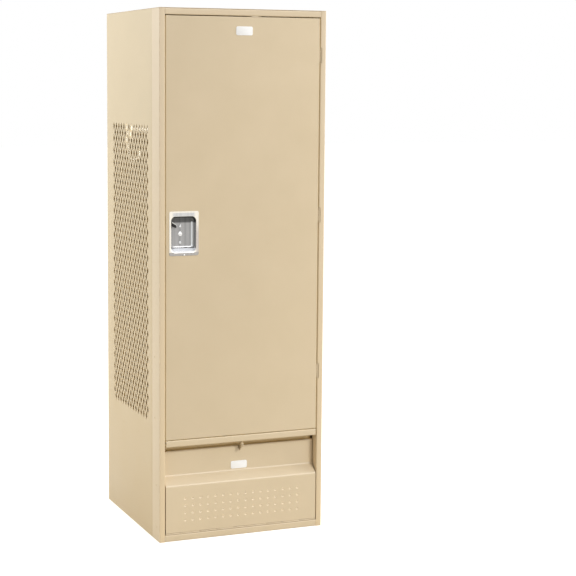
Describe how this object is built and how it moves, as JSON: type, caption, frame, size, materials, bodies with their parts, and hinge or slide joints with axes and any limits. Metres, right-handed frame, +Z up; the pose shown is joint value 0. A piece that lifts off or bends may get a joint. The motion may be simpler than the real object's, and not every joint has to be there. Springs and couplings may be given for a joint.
{
  "type": "gear locker",
  "caption": "Free-standing steel gear locker with diamond-punched sides, a hinged door with a recessed lift handle, and a perforated drop-front boot compartment below.",
  "frame": {"origin": "middle of the base rectangle, on the floor", "axes": "+Z up, front faces -Y, +X to the right seen from the front"},
  "size_m": [0.6096, 0.6096, 1.8288],
  "materials": {
    "tan_paint": "tan powder coat, satin",
    "stainless": "brushed stainless",
    "zinc_steel": "bright zinc plate",
    "dark_lift": "dark, satin",
    "plate_white": "white, bare"
  },
  "bodies": {
    "cabinet": {"left_front_post": "tan_paint", "right_front_post": "tan_paint", "top_rail": "tan_paint", "cross_rail": "tan_paint", "bottom_rail": "tan_paint", "left_side_panel": "tan_paint", "right_side_panel": "tan_paint", "back_panel": "tan_paint", "top_panel": "tan_paint", "floor_pan": "tan_paint", "compartment_floor": "tan_paint", "upper_shelf": "tan_paint", "coat_rod": "zinc_steel", "left_rod_bracket": "zinc_steel", "right_rod_bracket": "zinc_steel", "left_side_hook": "zinc_steel", "right_side_hook": "zinc_steel", "door_stop": "tan_paint", "padlock_staple": "tan_paint", "bottom_frame_hook": "zinc_steel", "middle_frame_hook": "zinc_steel", "top_frame_hook": "zinc_steel", "bottom_hinge_post_leaf": "tan_paint", "middle_hinge_post_leaf": "tan_paint", "top_hinge_post_leaf": "tan_paint", "bottom_hinge_pin": "tan_paint", "middle_hinge_pin": "tan_paint", "top_hinge_pin": "tan_paint", "drop_hinge_rail_leaf": "tan_paint", "drop_hinge_pin": "tan_paint"},
    "door": {"door_panel": "tan_paint", "door_stiffener": "tan_paint", "handle_cup": "stainless", "lock_hole_cover": "zinc_steel", "lower_bar_guide": "zinc_steel", "upper_bar_guide": "zinc_steel", "upper_number_plate": "plate_white", "bottom_hinge_door_leaf": "tan_paint", "middle_hinge_door_leaf": "tan_paint", "top_hinge_door_leaf": "tan_paint"},
    "latch": {"lock_bar": "zinc_steel", "lift_trigger": "dark_lift"},
    "drop_front": {"drop_front": "tan_paint", "drop_front_left_gusset": "tan_paint", "drop_front_right_gusset": "tan_paint", "padlock_eye": "tan_paint", "drop_hinge_front_leaf": "tan_paint", "lower_number_plate": "plate_white"}
  },
  "joints": [
    {"name": "door_hinge", "type": "hinge", "parent": "cabinet", "child": "door", "pos_m": [0.287, -0.3016, 1.12], "axis": [0, 0, 1], "range_deg": [0, 110]},
    {"name": "latch_lift", "type": "slide", "parent": "door", "child": "latch", "axis": [0, 0, 1], "range_m": [0, 0.012]},
    {"name": "drop_front_hinge", "type": "hinge", "parent": "cabinet", "child": "drop_front", "pos_m": [0, -0.3021, 0.0263], "axis": [1, 0, 0], "range_deg": [0, 90]}
  ]
}
